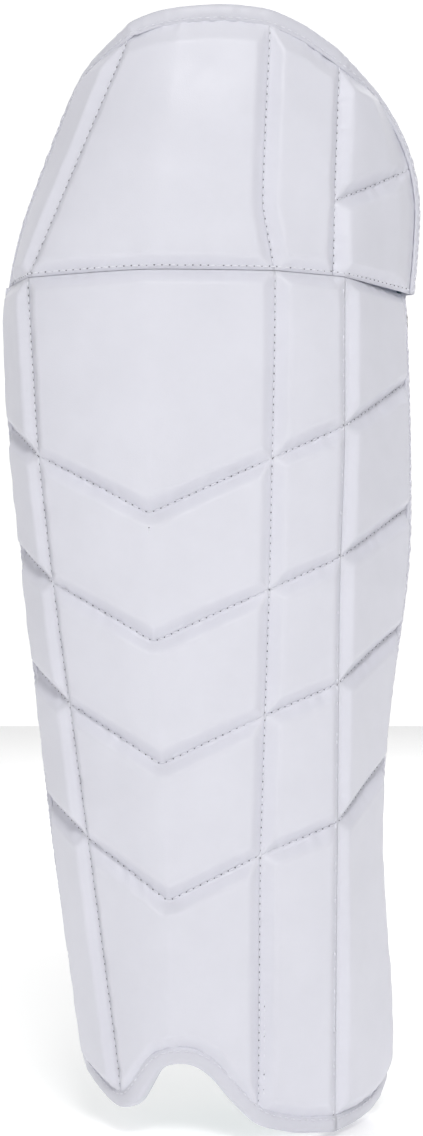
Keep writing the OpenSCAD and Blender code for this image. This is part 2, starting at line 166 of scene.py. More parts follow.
def sample(table, k, z):
    pos = np.clip(z - Z_LOW, 0, len(Z_FINE) - 1.001)
    i = pos.astype(int)
    f = pos - i
    return table[k, i] * (1 - f) + table[k, i + 1] * f


def point(u, z, off, hood):
    """Points of the seam surface, moved outwards by off. Takes and returns arrays."""
    u, z, off = np.broadcast_arrays(np.asarray(u, float), np.asarray(z, float), np.asarray(off, float))
    k = np.clip(np.floor(u), 0, 4).astype(int)
    t = u - k
    xs, ys = LINES[hood]
    xa, xb = sample(xs, k, z), sample(xs, k + 1, z)
    ya, yb = sample(ys, k, z), sample(ys, k + 1, z)
    ease = np.where(k == 1, 1 - np.abs(1 - t) ** 1.4, np.where(k == 2, np.abs(t) ** 1.4, t))
    lean = np.radians(LEAN[k] + (LEAN[k + 1] - LEAN[k]) * t)
    x = xa + (xb - xa) * t + off * np.sin(lean)
    y = ya + (yb - ya) * ease - LEG_Y - off * np.cos(lean)
    return np.stack([x, y, z], axis=-1)


def face_normal(u):
    k = np.clip(np.floor(u), 0, 4).astype(int)
    lean = np.radians(LEAN[k] + (LEAN[k + 1] - LEAN[k]) * (u - k))
    return np.stack([np.sin(lean), -np.cos(lean), np.zeros_like(lean)], axis=-1)


# ------------------------------------------------------------------ noise

RNG = np.random.default_rng(7)


class Waves:
    """Smooth noise: a sum of sine waves with random directions, of about the given wavelength."""

    def __init__(self, wavelength, count=14, dims=2):
        length = wavelength * RNG.uniform(0.7, 1.6, count)
        angle = RNG.uniform(0, 2 * math.pi, count)
        self.k = 2 * math.pi / length
        self.dx = np.cos(angle) if dims == 2 else np.ones(count)
        self.dy = np.sin(angle) if dims == 2 else np.zeros(count)
        self.phase = RNG.uniform(0, 2 * math.pi, count)
        self.gain = 1 / math.sqrt(count / 2)

    def __call__(self, x, y=0.0):
        total = 0.0
        for k, dx, dy, p in zip(self.k, self.dx, self.dy, self.phase):
            total = total + np.sin(k * (x * dx + y * dy) + p)
        return total * self.gain


SWELL = Waves(60)
RIPPLE = Waves(19)
PUCKER = Waves(8.5, dims=1)
PUCKER_LONG = Waves(21, dims=1)

# ------------------------------------------------------------------ materials


class Nodes:
    """A small helper that builds a procedural material."""

    def __init__(self, name):
        self.mat = bpy.data.materials.new(name)
        self.mat.use_nodes = True
        self.tree = self.mat.node_tree
        self.bsdf = self.tree.nodes["Principled BSDF"]
        self.coords = self.add("ShaderNodeTexCoord").outputs["Object"]

    def add(self, kind, **inputs):
        node = self.tree.nodes.new(kind)
        for key, value in inputs.items():
            self.put(node.inputs[key.replace("_", " ")], value)
        return node

    def put(self, socket, value):
        if isinstance(value, bpy.types.NodeSocket):
            self.tree.links.new(value, socket)
        else:
            socket.default_value = value

    def noise(self, scale, detail=2.0, rough=0.5):
        node = self.add("ShaderNodeTexNoise", Scale=scale, Detail=detail, Roughness=rough,
                        Vector=self.coords)
        return node.outputs["Fac"]

    def cells(self, scale):
        node = self.add("ShaderNodeTexVoronoi", Scale=scale, Vector=self.coords)
        return node.outputs["Distance"]

    def wave(self, scale, direction):
        node = self.add("ShaderNodeTexWave", Scale=scale, Distortion=0.0, Vector=self.coords)
        node.bands_direction = direction
        return node.outputs["Fac"]

    def math(self, kind, a, b=0.0):
        node = self.add("ShaderNodeMath")
        node.operation = kind
        self.put(node.inputs[0], a)
        self.put(node.inputs[1], b)
        return node.outputs[0]

    def ramp(self, fac, low, high, dark, light):
        node = self.add("ShaderNodeValToRGB", Fac=fac)
        node.color_ramp.elements[0].position = low
        node.color_ramp.elements[0].color = (*dark, 1)
        node.color_ramp.elements[1].position = high
        node.color_ramp.elements[1].color = (*light, 1)
        return node.outputs["Color"]

    def between(self, fac, low, high):
        node = self.add("ShaderNodeMapRange", Value=fac)
        node.inputs["To Min"].default_value = low
        node.inputs["To Max"].default_value = high
        return node.outputs[0]

    def bump(self, height, strength, distance, normal=None):
        node = self.add("ShaderNodeBump", Strength=strength, Distance=distance, Height=height)
        if normal is not None:
            self.put(node.inputs["Normal"], normal)
        return node.outputs["Normal"]

    def finish(self, color=None, rough=None, normal=None, **plain):
        for name, value in (("Base Color", color), ("Roughness", rough), ("Normal", normal)):
            if value is not None:
                self.put(self.bsdf.inputs[name], value)
        for key, value in plain.items():
            self.bsdf.inputs[key.replace("_", " ")].default_value = value
        return self.mat


def coated_fabric(name, dark, light, grain=1.0):
    """White coated fabric: a fine pebbled grain, faint cloth weave under it, and soft handling marks."""
    n = Nodes(name)
    pebble = n.cells(1500.0)
    weave = n.noise(2600.0, 2.0)
    blotch = n.noise(22.0, 4.0, 0.6)
    color = n.ramp(blotch, 0.3, 0.7, dark, light)
    rough = n.between(n.noise(60.0, 3.0), 0.36, 0.50)
    low = n.bump(blotch, 0.10, 0.0012)
    mid = n.bump(pebble, 0.30 * grain, 0.00012, low)
    fine = n.bump(weave, 0.18 * grain, 0.00006, mid)
    return n.finish(color, rough, fine, Specular_IOR_Level=0.45, Sheen_Weight=0.06, Sheen_Roughness=0.5)


def soft_foam(name, dark, light):
    n = Nodes(name)
    pores = n.cells(900.0)
    color = n.ramp(n.noise(180.0, 3.0), 0.3, 0.7, dark, light)
    return n.finish(color, n.between(pores, 0.8, 0.95), n.bump(pores, 0.6, 0.0004), Specular_IOR_Level=0.2)


def knit_mesh(name, dark, light):
    """Spacer mesh lining: rows of small round eyelets in a knitted face."""
    n = Nodes(name)
    eyelets = n.cells(330.0)
    yarn = n.noise(2200.0, 2.0)
    holes = n.ramp(eyelets, 0.18, 0.42, dark, light)
    shade = n.add("ShaderNodeMix")
    shade.data_type = "RGBA"
    n.put(shade.inputs["Factor"], n.between(n.noise(40.0, 3.0), 0.0, 0.35))
    n.put(shade.inputs["A"], holes)
    shade.inputs["B"].default_value = (*dark, 1)
    low = n.bump(eyelets, 0.7, 0.0006)
    return n.finish(shade.outputs["Result"], n.between(yarn, 0.75, 0.95), n.bump(yarn, 0.3, 0.0001, low),
                    Sheen_Weight=0.25, Sheen_Roughness=0.4, Specular_IOR_Level=0.25)


def webbing(name, dark, light, rib=620.0):
    """Elastic webbing: fine ribs along its length and short cross threads between them."""
    n = Nodes(name)
    ribs = n.wave(rib / math.pi, "Z")
    cross = n.noise(1500.0, 2.0)
    mixed = n.math("ADD", n.math("MULTIPLY", ribs, 0.7), n.math("MULTIPLY", cross, 0.45))
    color = n.ramp(mixed, 0.2, 0.9, dark, light)
    low = n.bump(ribs, 0.7, 0.0004)
    return n.finish(color, n.between(cross, 0.65, 0.85), n.bump(cross, 0.35, 0.00015, low),
                    Sheen_Weight=0.35, Sheen_Roughness=0.35, Specular_IOR_Level=0.3)


def pile(name, dark, light, scale):
    """Hook or loop pile: a dense field of tiny bristles."""
    n = Nodes(name)
    tufts = n.cells(scale)
    color = n.ramp(tufts, 0.1, 0.6, light, dark)
    return n.finish(color, n.between(tufts, 0.6, 0.95), n.bump(tufts, 0.9, 0.0008), Sheen_Weight=0.3,
                    Specular_IOR_Level=0.2)


def thread(name, dark, light):
    """Sewing thread: a tight twist along each stitch."""
    n = Nodes(name)
    twist = n.noise(2400.0, 2.0)
    return n.finish(n.ramp(twist, 0.3, 0.7, dark, light), n.between(twist, 0.45, 0.65),
                    n.bump(twist, 0.4, 0.0001), Sheen_Weight=0.1)


MAT = {
    "cover": coated_fabric("cover_white", (0.765, 0.765, 0.835), (0.800, 0.800, 0.872)),
    "binding": coated_fabric("binding_white", (0.700, 0.700, 0.765), (0.735, 0.735, 0.800), 0.8),
    "cell_foam": soft_foam("cell_foam_cream", (0.72, 0.68, 0.52), (0.82, 0.78, 0.64)),
    "foam_board": soft_foam("foam_board_blue", (0.09, 0.19, 0.38), (0.14, 0.27, 0.48)),
    "lining": knit_mesh("lining_teal", (0.004, 0.055, 0.060), (0.012, 0.150, 0.160)),
    "bolster": coated_fabric("bolster_white", (0.66, 0.66, 0.70), (0.74, 0.74, 0.78), 1.4),
    "webbing": webbing("webbing_black", (0.006, 0.006, 0.007), (0.035, 0.035, 0.038)),
    "hook_pile": pile("hook_pile_black", (0.004, 0.004, 0.004), (0.030, 0.030, 0.032), 700.0),
    "loop_pile": pile("loop_pile_black", (0.010, 0.010, 0.011), (0.055, 0.055, 0.058), 420.0),
    "thread": thread("thread_white", (0.82, 0.82, 0.88), (0.90, 0.90, 0.96)),
    # painted shade: the grey of the needle-hole domes stands for the shade inside each puncture
    "hole_painted_shade": thread("hole_painted_shade_grey", (0.10, 0.10, 0.12), (0.20, 0.20, 0.22)),
    "black_thread": thread("thread_black", (0.010, 0.010, 0.011), (0.045, 0.045, 0.048)),
}

# ------------------------------------------------------------------ mesh helpers


def mesh_object(name, verts, faces, material):
    """A mesh piece from millimetre points."""
    mesh = bpy.data.meshes.new(name)
    verts = np.asarray(verts, float).reshape(-1, 3) * MM
    mesh.from_pydata(verts.tolist(), [], [tuple(int(i) for i in f) for f in faces])
    mesh.validate()
    mesh.polygons.foreach_set("use_smooth", [True] * len(mesh.polygons))
    materials = material if isinstance(material, (list, tuple)) else [material]
    for m in materials:
        mesh.materials.append(MAT[m])
    mesh.update()
    obj = bpy.data.objects.new(name, mesh)
    bpy.context.scene.collection.objects.link(obj)
    return obj


def grid_faces(rows, cols, start=0, flip=False):
    r, c = np.meshgrid(np.arange(rows - 1), np.arange(cols - 1), indexing="ij")
    a = (r * cols + c).ravel() + start
    quads = np.stack([a, a + 1, a + cols + 1, a + cols], axis=1)
    return quads[:, ::-1] if flip else quads


def rim_indices(rows, cols):
    return np.concatenate([
        np.arange(cols - 1),
        np.arange(rows - 1) * cols + cols - 1,
        (rows - 1) * cols + np.arange(cols - 1, 0, -1),
        np.arange(rows - 1, 0, -1) * cols,
    ])


def slab_mesh(name, front, back, material):
    """A closed slab between two grids of points of the same size."""
    rows, cols = front.shape[:2]
    n = rows * cols
    rim = rim_indices(rows, cols)
    nxt = np.roll(rim, -1)
    sides = np.stack([rim, rim + n, nxt + n, nxt], axis=1)
    faces = np.concatenate([grid_faces(rows, cols), grid_faces(rows, cols, n, True), sides])
    return mesh_object(name, np.concatenate([front.reshape(-1, 3), back.reshape(-1, 3)]), faces, material)


def sweep_mesh(name, rings, material, closed_path=False):
    """A solid swept through equal closed rings, with flat ends unless the path is a loop."""
    rings = np.asarray(rings, float)
    count, m = rings.shape[:2]
    last = count if closed_path else count - 1
    i, j = np.meshgrid(np.arange(last), np.arange(m), indexing="ij")
    a = (i * m + j).ravel()
    b = (i * m + (j + 1) % m).ravel()
    total = count * m
    faces = np.stack([a, b, (b + m) % total, (a + m) % total], axis=1).tolist()
    if not closed_path:
        faces.append(list(range(m - 1, -1, -1)))
        faces.append([(count - 1) * m + k for k in range(m)])
    return mesh_object(name, rings.reshape(-1, 3), faces, material)


def unit(v):
    return v / np.maximum(np.linalg.norm(v, axis=-1, keepdims=True), 1e-9)


def even_path(points, spacing):
    """Points spaced evenly along a polyline."""
    points = np.asarray(points, float)
    run = np.concatenate([[0], np.cumsum(np.linalg.norm(np.diff(points, axis=0), axis=1))])
    count = max(2, int(round(run[-1] / spacing)) + 1)
    at = np.linspace(0, run[-1], count)
    return np.stack([np.interp(at, run, points[:, i]) for i in range(points.shape[1])], axis=1)


def merged(name, parts, materials):
    """One mesh from several lists of (verts, faces, material index)."""
    verts, faces, index = [], [], []
    start = 0
    for v, f, m in parts:
        verts.append(np.asarray(v, float).reshape(-1, 3))
        faces.extend([[int(i) + start for i in face] for face in f])
        index.extend([m] * len(f))
        start += len(verts[-1])
    obj = mesh_object(name, np.concatenate(verts), faces, materials)
    obj.data.polygons.foreach_set("material_index", index)
    return obj


def place(obj, body, slot, *nodes):
    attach(obj, body)
    if nodes:
        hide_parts(*nodes)
    return obj


# ------------------------------------------------------------------ face cells

COLUMNS = {"left": (0, 1), "main": (1, 3), "centre": (3, 4), "wing": (4, 5)}
HOOD_CELLS = {
    "left": (0, 1, KNEE_ROW, TOP_ROW),
    "main": (1, 3, KNEE_ROW, TOP_ROW),
    "centre": (3, 4, KNEE_ROW, TOP_ROW),
    "wing_lower": (4, 5, KNEE_ROW, SPLIT_ROW),
    "wing_upper": (4, 5, SPLIT_ROW, TOP_ROW),
}
TUCK = 1.0                            # how far a cell runs on under the binding
HINGE_SEAM = 0.08                     # half the gap at the wing seam, where the pad bends


def hood_wing_seam(z):
    """The u of the hood's wing seam, which meets the knee seam a little inside the fold."""
    return 4.0 - 0.17 * np.clip((530.0 - z) / 46.0, 0, 1.3)


class Patch:
    """One cell of the face, as a grid of u and z with the distance of each point from its four edges."""

    def __init__(self, u0, u1, low, high, hood, margins, grid):
        mid = float((low((u0 + u1) / 2) + high((u0 + u1) / 2)) / 2)
        spread = point(np.linspace(u0, u1, 60), mid, 0, hood)
        width = np.linalg.norm(np.diff(spread, axis=0), axis=1).sum()
        height = float(np.max(high(np.linspace(u0, u1, 9)) - low(np.linspace(u0, u1, 9))))
        cols = max(6, int(math.ceil(width / grid)) + 1)
        rows = max(6, int(math.ceil(height / grid)) + 1)
        s = np.linspace(0, 1, cols)
        t = np.linspace(0, 1, rows)
        us = u0 + (u1 - u0) * (margins[0] + (width - margins[0] - margins[1]) * s) / width
        guess = low(us)[None, :] + (high(us) - low(us))[None, :] * t[:, None]
        from_u = hood_wing_seam(guess) if hood and u0 == 4 else u0
        to_u = hood_wing_seam(guess) if hood and u1 == 4 else u1
        self.u = from_u + (to_u - from_u) * (us[None, :] - u0) / (u1 - u0) + 0 * guess
        bottom = low(self.u) + margins[2]
        top = high(self.u) - margins[3]
        self.z = bottom + (top - bottom) * t[:, None]
        at = point(self.u, self.z, 0, hood)
        step = np.linalg.norm(np.diff(at, axis=1), axis=2)
        run = np.concatenate([np.zeros((rows, 1)), np.cumsum(step, axis=1)], axis=1)
        arc = run[rows // 2]
        slope_low = np.gradient(bottom[0], arc)
        slope_high = np.gradient(top[-1], arc)
        self.left = run
        self.right = run[:, -1:] - run
        self.low = (self.z - bottom) / np.sqrt(1 + slope_low ** 2)[None, :]
        self.high = (top - self.z) / np.sqrt(1 + slope_high ** 2)[None, :]
        self.along = run

    def distance(self, soft=0.7, ease=(1, 1, 1, 1)):
        """Distance from the nearest edge; an ease below 1 makes that edge's slope longer."""
        edges = (self.left, self.right, self.low, self.high)
        stack = np.stack([edge * e for edge, e in zip(edges, ease)])
        blended = -soft * np.log(np.exp(-stack / soft).sum(axis=0))
        return np.maximum(np.minimum(blended, stack.min(axis=0)), 0)


def soft_step(x, k=0.09):
    """Rises in a straight line to 1 and levels off with a rounded shoulder."""
    h = np.clip(0.5 + 0.5 * (1 - x) / k, 0, 1)
    return x * h + (1 - h) - k * h * (1 - h)


def cell_off(d):
    """How far the cover stands off the seam surface at this distance from the nearest seam."""
    return 0.6 + (RISE - 1.0) * soft_step(np.maximum(d - FLOOR, 0) / SLOPE)


def puckers(patch):
    """Gathers that the stitching pulls into the fabric, dying away from each sewn edge."""
    total = 0.0
    sides = {
        "left": (patch.left, patch.z),
        "right": (patch.right, patch.z),
        "low": (patch.low, patch.along),
        "high": (patch.high, patch.along),
    }
    for edge, (d, along) in sides.items():
        near = np.exp(-d / 3.2) * (1 - np.exp(-d / 0.8))
        far = np.exp(-d / 9.0) * (1 - np.exp(-d / 2.5))
        total = total + 0.16 * np.cos(2 * math.pi * along / PITCH) * near
        total = total + 0.34 * PUCKER(along + 1000.0 * len(edge)) * near + 0.30 * PUCKER_LONG(along) * far
    return total


def face_cell(name, u0, u1, low, high, hood, body, margins, node):
    """A padded cell: a plateau with sloping sides that dive into the seams."""
    patch = Patch(u0, u1, low, high, hood, margins, GRID)
    left = 0.45 if hood and u0 == 0 else 1
    right = 0.35 if hood and u1 == 5 else 1
    ease = (left, right, 1, 0.6 if high is TOP_ROW else 1)
    d = patch.distance(ease=ease)
    pillow = 1 - np.exp(-np.maximum(d - FLOOR - SLOPE, 0) / 16.0)
    soft = SWELL(patch.along + 3 * u0 * 70, patch.z) * 0.30 + RIPPLE(patch.along + u0 * 90, patch.z) * 0.07
    off = cell_off(d) + CROWN * pillow + soft * np.clip(d / 14, 0, 1) + puckers(patch)
    off = np.maximum(off, 0.45)
    front = point(patch.u, patch.z, off, hood)
    back = point(patch.u, patch.z, off - COVER_T, hood)
    return place(slab_mesh(name, front, back, "cover"), body, "cover", node)


def face_margins(u0, u1, low, high, wing_seam):
    """How far a cell stops short of its four edges: under the tape, or at a seam."""
    return [
        SIDE_TAPE - TUCK if u0 == 0 else (wing_seam if u0 == 4 else 0.0),
        SIDE_TAPE - TUCK if u1 == 5 else (wing_seam if u1 == 4 else 0.0),
        TAPE - TUCK if low is BOTTOM_ROW else (KNEE_SPLIT if low is KNEE_ROW else 0.0),
        TAPE - TUCK if high is TOP_ROW else (KNEE_SPLIT if high is KNEE_ROW else 0.0),
    ]


def build_face():
    for column, (u0, u1) in COLUMNS.items():
        body = "wing" if column == "wing" else "shin"
        for r in range(1, 6):
            low, high = SHIN_ROWS[5 - r], SHIN_ROWS[6 - r]
            margins = face_margins(u0, u1, low, high, HINGE_SEAM)
            node = f"shin_cover_{column}_{r}"
            face_cell(f"cell_{column}_{r}", u0, u1, low, high, False, body, margins, node)
    for label, (u0, u1, low, high) in HOOD_CELLS.items():
        margins = face_margins(u0, u1, low, high, 0.0)
        face_cell(f"hood_cell_{label}", u0, u1, low, high, True, "hood", margins, f"hood_cover_{label}")


# ------------------------------------------------------------------ inner layers


def board(name, u0, u1, low, high, hood, margins, body, node, grid):
    """The stiff foam board behind the cells."""
    patch = Patch(u0, u1, low, high, hood, margins, grid)
    front = point(patch.u, patch.z, BOARD_OUT, hood)
    back = point(patch.u, patch.z, BOARD_IN, hood)
    place(slab_mesh(name, front, back, "foam_board"), body, "foam_board", node)


def foam_block(name, u0, u1, low, high, hood, body, node):
    """The soft block under one cover, thin at its edges so that the cover always hides it."""
    margins = [
        SIDE_TAPE + 3.0 if u0 == 0 else 1.5,
        SIDE_TAPE + 3.0 if u1 == 5 else 1.5,
        TAPE + 3.0 if low is BOTTOM_ROW else 1.5,
        TAPE + 3.0 if high is TOP_ROW else 1.5,
    ]
    patch = Patch(u0, u1, low, high, hood, margins, 4.0)
    top = np.maximum(cell_off(patch.distance() * 0.5) - COVER_T - 0.9, -0.7)
    top_points = point(patch.u, patch.z, top, hood)
    under = point(patch.u, patch.z, -1.1, hood)
    place(slab_mesh(name, top_points, under, "cell_foam"), body, "cell_foam", node)


def build_core():
    for column, (u0, u1) in COLUMNS.items():
        body = "wing" if column == "wing" else "shin"
        for r in range(1, 6):
            node = "wing_foam" if column == "wing" else f"shin_foam_{column}"
            foam_block(f"foam_{column}_{r}", u0, u1, SHIN_ROWS[5 - r], SHIN_ROWS[6 - r], False, body, node)
        edge = [2.4 if u0 == 0 else 0.6, 2.4 if u1 == 5 else 0.6, 2.4, 1.4]
        node = "wing_board" if column == "wing" else f"shin_board_{column}"
        board(f"board_{column}", u0, u1, BOTTOM_ROW, KNEE_ROW, False, edge, body, node, 5.0)
    for label, (u0, u1, low, high) in HOOD_CELLS.items():
        foam_block(f"hood_foam_{label}", u0, u1, low, high, True, "hood", "hood_foam")
    edge = [2.4, 2.4, 1.4, 2.4]
    board("hood_core_board", 0, 5, KNEE_ROW, TOP_ROW, True, edge, "hood", "hood_board", 4.0)


def lining_piece(name, u0, u1, hood, body, margins, node):
    """The lining, quilted a little between the edges so that it isn't dead flat."""
    low, high = (KNEE_ROW, TOP_ROW) if hood else (BOTTOM_ROW, KNEE_ROW)
    patch = Patch(u0, u1, low, high, hood, margins, 3.0)
    d = patch.distance(3.0)
    puff = 0.9 * (1 - np.exp(-d / 14.0)) + 0.25 * RIPPLE(patch.along, patch.z) * np.clip(d / 10, 0, 1)
    front = point(patch.u, patch.z, LINING_OUT, hood)
    back = point(patch.u, patch.z, LINING_IN - puff, hood)
    place(slab_mesh(name, front, back, "lining"), body, "lining", node)


def build_lining():
    lining_piece("lining_hood", 0, 5, True, "hood", [1.8, 1.8, 1.2, 1.8], "hood_lining")
    lining_piece("lining_shin", 0, 4, False, "shin", [1.8, 0.6, 1.8, 1.2], "shin_lining")
    lining_piece("lining_wing", 4, 5, False, "wing", [0.6, 1.8, 1.8, 1.2], "wing_lining")


# ------------------------------------------------------------------ edge binding


def row_path(row, u0, u1, n, drop=0.0):
    us = np.linspace(u0, u1, n)
    return [(u, float(row(u)) - drop) for u in us]


def side_path(u, z0, z1, n):
    return [(u, z) for z in np.linspace(z0, z1, n)]


def edge_frames(path, hood, spacing):
    """Evenly spaced points of an edge, with the face direction and the outward direction at each."""
    width = 40.0  # rough width of one column
    uz = even_path([(u * width, z) for u, z in path], spacing)
    u, z = uz[:, 0] / width, uz[:, 1]
    at = point(u, z, 0, hood)
    for _ in range(6):
        at[1:-1] = (at[:-2] + 2 * at[1:-1] + at[2:]) / 4
    along = unit(np.gradient(at, axis=0))
    face = face_normal(u)
    out = unit(np.cross(along, face))
    return at, face, out


def tape_profile(width, back_width):
    """Section of the folded tape: across (positive outwards) and off (positive to the face)."""
    outer = [(-width, 1.15), (-width + 0.5, 1.75), (-width * 0.5, 2.15), (-1.2, 2.05), (0.4, 1.3),
             (1.25, 0.0), (1.55, -2.0), (1.6, -5.0), (1.45, -8.0), (0.8, -9.5), (-0.8, -10.4),
             (-back_width * 0.6, -10.7), (-back_width + 0.4, -10.5), (-back_width, -10.0)]
    inner = [(-back_width, -9.5), (-0.6, -9.3), (0.3, -8.2), (0.35, -1.0), (-0.6, 0.25), (-width, 0.35)]
    return np.array(outer + inner)


def tape(name, path, hood, body, node, widths):
    """Binding tape folded over an edge; returns the line close to its front lip where its row of stitches
    goes.
    """
    at, face, out = edge_frames(path, hood, 2.2)
    n = len(at)
    share = np.linspace(0, 1, n)
    width = np.interp(share, *widths)
    run = np.concatenate([[0], np.cumsum(np.linalg.norm(np.diff(at, axis=0), axis=1))])
    rings = []
    for i in range(n):
        profile = tape_profile(width[i], 6.0)
        gather = 0.16 * math.sin(2 * math.pi * run[i] / PITCH) + 0.22 * float(PUCKER(np.array(run[i])))
        lift = np.where(profile[:, 1] > 1.0, gather * 0.7, 0.0)
        rings.append(at[i] + out[i] * profile[:, :1] + face[i] * (profile[:, 1:] + lift[:, None]))
    place(sweep_mesh(name, rings, "binding"), body, "binding", node)
    lip = at + out * (-width[:, None] + 1.9) + face * 2.35
    return lip, face


def build_binding():
    knee_left, knee_right = float(KNEE_ROW(0)), float(KNEE_ROW(5))
    hood_path = (side_path(5, knee_right + KNEE_SPLIT, 591, 30)
                 + row_path(TOP_ROW, 4.97, 0.03, 160)
                 + side_path(0, 595, knee_left + KNEE_SPLIT, 30))
    # Each widths pair: shares of the way along the tape, and the tape's width on the face at each
    widths = ([0, 0.22, 0.34, 0.62, 0.74, 1], [4.5, 5.0, 8.5, 8.5, 6.0, 4.5])
    hood = tape("tape_hood", hood_path, True, "hood", "hood_binding", widths)
    shin_path = side_path(0, knee_left - KNEE_SPLIT, 50, 30) + row_path(BOTTOM_ROW, 0.03, 3.99, 140)
    widths = ([0, 0.60, 0.68, 1], [4.5, 4.5, 8.5, 8.5])
    shin = tape("tape_shin", shin_path, False, "shin", "shin_binding", widths)
    wing_path = row_path(BOTTOM_ROW, 4.01, 4.97, 50) + side_path(5, 38, knee_right - KNEE_SPLIT, 30)
    widths = ([0, 0.22, 0.36, 1], [8.5, 8.5, 5.0, 4.5])
    wing = tape("tape_wing", wing_path, False, "wing", "wing_binding", widths)
    return hood, shin, wing


# ------------------------------------------------------------------ stitching


def ring_faces(rings, sides):
    """Faces of a solid made of closed rings of points, with a flat face at each end."""
    faces = [[i * sides + j, i * sides + (j + 1) % sides,
              (i + 1) * sides + (j + 1) % sides, (i + 1) * sides + j]
             for i in range(rings - 1) for j in range(sides)]
    faces.append(list(range(sides - 1, -1, -1)))
    faces.append([(rings - 1) * sides + j for j in range(sides)])
    return faces


def capsule(center, along, up, length, radius, sides=6):
    """A small rounded bar: one stitch lying on the fabric with its ends pulled in."""
    side = np.cross(along, up)
    stations = [(-0.5, 0.25, -0.7), (-0.42, 0.75, -0.15), (0, 1.0, 0.15), (0.42, 0.75, -0.15),
                (0.5, 0.25, -0.7)]
    verts = []
    for f, r, lift in stations:
        mid = center + along * (length * f) + up * (lift * radius)
        for j in range(sides):
            a = 2 * math.pi * j / sides
            verts.append(mid + (side * math.cos(a) + up * math.sin(a)) * radius * r)
    return verts, ring_faces(len(stations), sides)


def button(center, up, radius, height, sides=7):
    """A tiny low dome: the dark mouth of a needle hole, coloured grey as painted shade for the shade inside
    the hole.
    """
    ref = np.array([0.0, 0.0, 1.0]) if abs(up[2]) < 0.9 else np.array([1.0, 0.0, 0.0])
    a = unit(np.cross(up, ref))
    b = np.cross(up, a)
    verts = []
    rings = ((1.0, -1.0), (1.0, 0.0), (0.6, 0.8))
    for r, h in rings:
        for j in range(sides):
            t = 2 * math.pi * j / sides
            verts.append(center + (a * math.cos(t) + b * math.sin(t)) * radius * r + up * height * h)
    return verts, ring_faces(len(rings), sides)


def stitch_row(parts, points, ups, pitch=PITCH, length=2.7, radius=0.42, holes=True):
    """Stitches at an even pitch along a path that already lies on the fabric."""
    both = even_path(np.concatenate([points, ups], axis=1), pitch)
    at, up = both[:, :3], unit(both[:, 3:])
    for i in range(len(at) - 1):
        along = unit(at[i + 1] - at[i])
        up_i = unit(up[i] - along * float(np.dot(up[i], along)))
        v, f = capsule((at[i] + at[i + 1]) / 2, along, up_i, length, radius)
        parts.append((v, f, 0))
        if holes:
            # each needle hole is a raised grey dome, painted shade standing for the shade inside the
            # puncture
            v, f = button(at[i] - up_i * 0.1, up_i, 0.42, 0.12)
            parts.append((v, f, 1))


def surface_run(us, zs, hood, off):
    us, zs = np.asarray(us, float), np.asarray(zs, float)
    return point(us, zs, off, hood), face_normal(us)


def build_stitching(lips):
    """Rows along every seam, gathered into one piece for each body."""
    parts = {"shin": [], "wing": [], "hood": []}
    seam_off = 0.75

    def column(body, u, z0, z1, hood):
        z = np.linspace(z0, z1, 200)
        us = hood_wing_seam(z) if hood and u == 4 else np.full_like(z, u)
        stitch_row(parts[body], *surface_run(us, z, hood, seam_off))

    def across(body, row, u0, u1, hood, shift=0.0):
        u = np.linspace(u0, u1, 240)
        stitch_row(parts[body], *surface_run(u, row(u) + shift, hood, cell_off(abs(shift)) + 0.15))

    for u in (1, 3):
        column("shin", u, float(BOTTOM_ROW(u)) + TAPE, float(KNEE_ROW(u)) - 1.5, False)
        column("hood", u, float(KNEE_ROW(u)) + 3, float(TOP_ROW(u)) - TAPE, True)
    column("shin", 3.975, float(BOTTOM_ROW(4)) + TAPE, float(KNEE_ROW(4)) - 1.5, False)
    column("hood", 4, float(KNEE_ROW(4)) + 3, float(TOP_ROW(4)) - TAPE, True)
    for row in CHEVRONS:
        across("shin", row, 0.16, 3.97, False)
        across("wing", row, 4.03, 4.9, False)
    across("hood", KNEE_ROW, 0.12, 4.92, True, 2.2)
    across("hood", SPLIT_ROW, 4.02, 4.9, True)
    start = float(BOTTOM_ROW(3)) + TAPE
    z = np.linspace(start + 2, start + 62, 60)
    stitch_row(parts["shin"], *surface_run(np.full_like(z, 3.06), z, False, cell_off(2.5) + 0.2))
    drop = np.linspace(1.5, 12.0, 12)
    tail = CHEVRON_Z[3] - drop
    stitch_row(parts["shin"], *surface_run(np.full_like(drop, 2.0), tail, False, cell_off(drop) + 0.2))
    for body, (lip, face) in zip(("hood", "shin", "wing"), lips):
        stitch_row(parts[body], lip, face, pitch=PITCH, length=2.6, radius=0.36, holes=False)
    for body, pieces in parts.items():
        place(merged(f"stitching_{body}", pieces, ["thread", "hole_painted_shade"]), body, "binding")


# ------------------------------------------------------------------ cushions on the leg side


def apply_modifiers(obj):
    bpy.context.view_layer.objects.active = obj
    for o in bpy.context.selected_objects:
        o.select_set(False)
    obj.select_set(True)
    for m in list(obj.modifiers):
        bpy.ops.object.modifier_apply(modifier=m.name)


